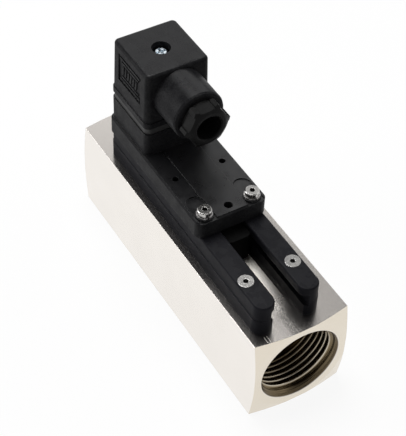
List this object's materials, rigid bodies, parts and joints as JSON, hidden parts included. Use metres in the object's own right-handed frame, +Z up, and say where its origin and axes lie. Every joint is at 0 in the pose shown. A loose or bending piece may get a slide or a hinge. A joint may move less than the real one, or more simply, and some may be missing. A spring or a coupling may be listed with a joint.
{
  "type": "variable area flow switch",
  "caption": "Square metal flow switch with threaded ports, an inner sprung float, and a black sensor head with a cable plug that slides on two grooved rails.",
  "frame": {"origin": "centre of the flow body's underside, on the ground under the middle of the whole", "axes": "+X along the flow, from the inlet end to the outlet end; +Y to the side away from the pictured long side; +Z up, towards the plug"},
  "size_m": [0.135, 0.04, 0.0991],
  "materials": {
    "nickel_plate": "nickel plated, ground satin",
    "inner_brass": "turned",
    "float_brass": "turned",
    "seal_rubber": "matt",
    "stainless": "ground",
    "spring_steel": "drawn",
    "magnet_iron": "sintered",
    "rail_black": "smooth moulded",
    "screw_steel": "plain",
    "washer_steel": "plain",
    "housing_black": "fine grained moulded",
    "carrier_black": "smooth moulded",
    "insert_brass": "knurled",
    "reed_glass": "clear",
    "blade_metal": "plated",
    "wire_sleeve": "smooth",
    "tinned_contact": "tinned",
    "gasket_rubber": "matt",
    "cap_black": "satin moulded",
    "block_grey": "smooth moulded",
    "zinc_steel": "zinc plated",
    "gland_rubber": "matt",
    "ring_plastic": "smooth",
    "nut_black": "satin moulded"
  },
  "bodies": {
    "housing": {"flow_body": "nickel_plate", "inlet_guide": "inner_brass", "metering_sleeve": "inner_brass", "sleeve_seal": "seal_rubber", "outlet_guide": "inner_brass", "guide_rod": "stainless", "retaining_ring": "spring_steel", "return_spring": "spring_steel", "rail_left": "rail_black", "rail_right": "rail_black", "rail_screws": "screw_steel"},
    "float": {"float_piston": "float_brass", "float_magnet": "magnet_iron", "magnet_cap": "stainless"},
    "switch_head": {"switch_housing": "housing_black", "reed_carrier": "carrier_black", "carrier_screw": "screw_steel", "clamp_screws": "screw_steel", "lock_washers": "washer_steel", "clamp_inserts": "insert_brass", "reed_glass": "reed_glass", "reed_blades": "blade_metal", "lead_wires": "wire_sleeve", "contact_blades": "tinned_contact", "plug_thread_insert": "insert_brass", "flat_gasket": "gasket_rubber"},
    "plug": {"plug_cap": "cap_black", "terminal_block": "block_grey", "socket_contacts": "tinned_contact", "terminal_screws": "screw_steel", "plug_screw": "zinc_steel", "screw_seal": "seal_rubber", "gland_seal": "gland_rubber"},
    "gland_ring": {"thrust_ring": "ring_plastic"},
    "nut": {"gland_nut": "nut_black"}
  },
  "joints": [
    {"name": "float_slide", "type": "slide", "parent": "housing", "child": "float", "axis": [1, 0, 0], "range_m": [0, 0.018], "stiffness_N_per_m": 120, "springref_m": -0.008, "deforming": ["return_spring"]},
    {"name": "head_slide", "type": "slide", "parent": "housing", "child": "switch_head", "axis": [1, 0, 0], "range_m": [0, 0.034]},
    {"name": "plug_lift", "type": "slide", "parent": "switch_head", "child": "plug", "axis": [0, 0, 1], "range_m": [0, 0.026]},
    {"name": "gland_press", "type": "slide", "parent": "plug", "child": "gland_ring", "axis": [-1, 0, 0], "range_m": [0, 0.00141], "deforming": ["gland_seal"]},
    {"name": "nut_turn", "type": "hinge", "parent": "gland_ring", "child": "nut", "pos_m": [0.0004, -0.00335, 0.0876], "axis": [-1, 0, 0], "range_deg": [0, 360]}
  ],
  "couplings": [
    {"joint": "gland_press", "follows": "nut_turn", "m_per_rad": 0.00022457}
  ]
}
